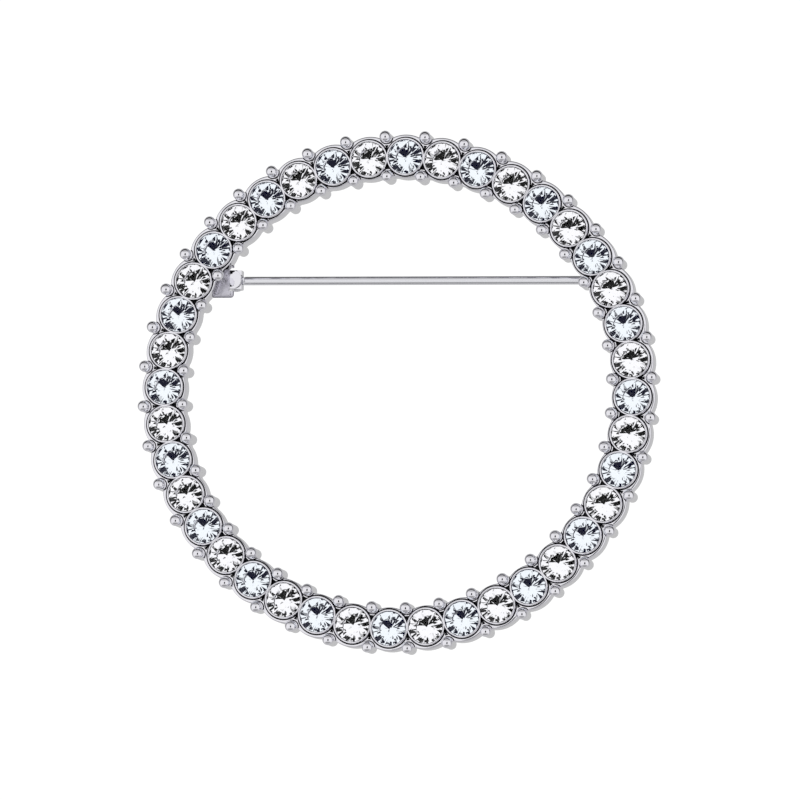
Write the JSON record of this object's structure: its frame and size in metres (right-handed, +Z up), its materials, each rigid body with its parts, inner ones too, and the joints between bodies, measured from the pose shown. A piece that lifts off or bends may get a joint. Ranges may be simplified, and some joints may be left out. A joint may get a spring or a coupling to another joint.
{
  "type": "glasses holder brooch",
  "caption": "Open circle brooch set with round stones between ball beads, with a hinged pin stem across the opening, worn to hang glasses by a temple.",
  "frame": {"origin": "middle of the underside, on the surface that the brooch lies on with its stones up", "axes": "+Z up, out of the stones' side; +Y towards the edge that is on top when worn; +X from the hinge to the catch"},
  "size_m": [0.0478, 0.0478, 0.0064],
  "materials": {
    "plated_metal": "bright rhodium-like plating on a polished casting",
    "crystal": "clear faceted glass",
    "stem_metal": "drawn and plated spring steel wire"
  },
  "bodies": {
    "brooch": {"setting_ring": "plated_metal", "stone_01": "crystal", "stone_02": "crystal", "stone_03": "crystal", "stone_04": "crystal", "stone_05": "crystal", "stone_06": "crystal", "stone_07": "crystal", "stone_08": "crystal", "stone_09": "crystal", "stone_10": "crystal", "stone_11": "crystal", "stone_12": "crystal", "stone_13": "crystal", "stone_14": "crystal", "stone_15": "crystal", "stone_16": "crystal", "stone_17": "crystal", "stone_18": "crystal", "stone_19": "crystal", "stone_20": "crystal", "stone_21": "crystal", "stone_22": "crystal", "stone_23": "crystal", "stone_24": "crystal", "stone_25": "crystal", "stone_26": "crystal", "stone_27": "crystal", "stone_28": "crystal", "stone_29": "crystal", "stone_30": "crystal", "stone_31": "crystal", "stone_32": "crystal", "stone_33": "crystal", "stone_34": "crystal", "stone_35": "crystal", "stone_36": "crystal", "stone_37": "crystal", "stone_38": "crystal", "stone_39": "crystal", "stone_40": "crystal", "hinge_rivet": "stem_metal"},
    "pin": {"pin_stem": "stem_metal"}
  },
  "joints": [
    {"name": "pin_hinge", "type": "hinge", "parent": "brooch", "child": "pin", "pos_m": [-0.0157, 0.01078, 0.00075], "axis": [0, 0.998, 0.0638], "range_deg": [0, 100]}
  ]
}
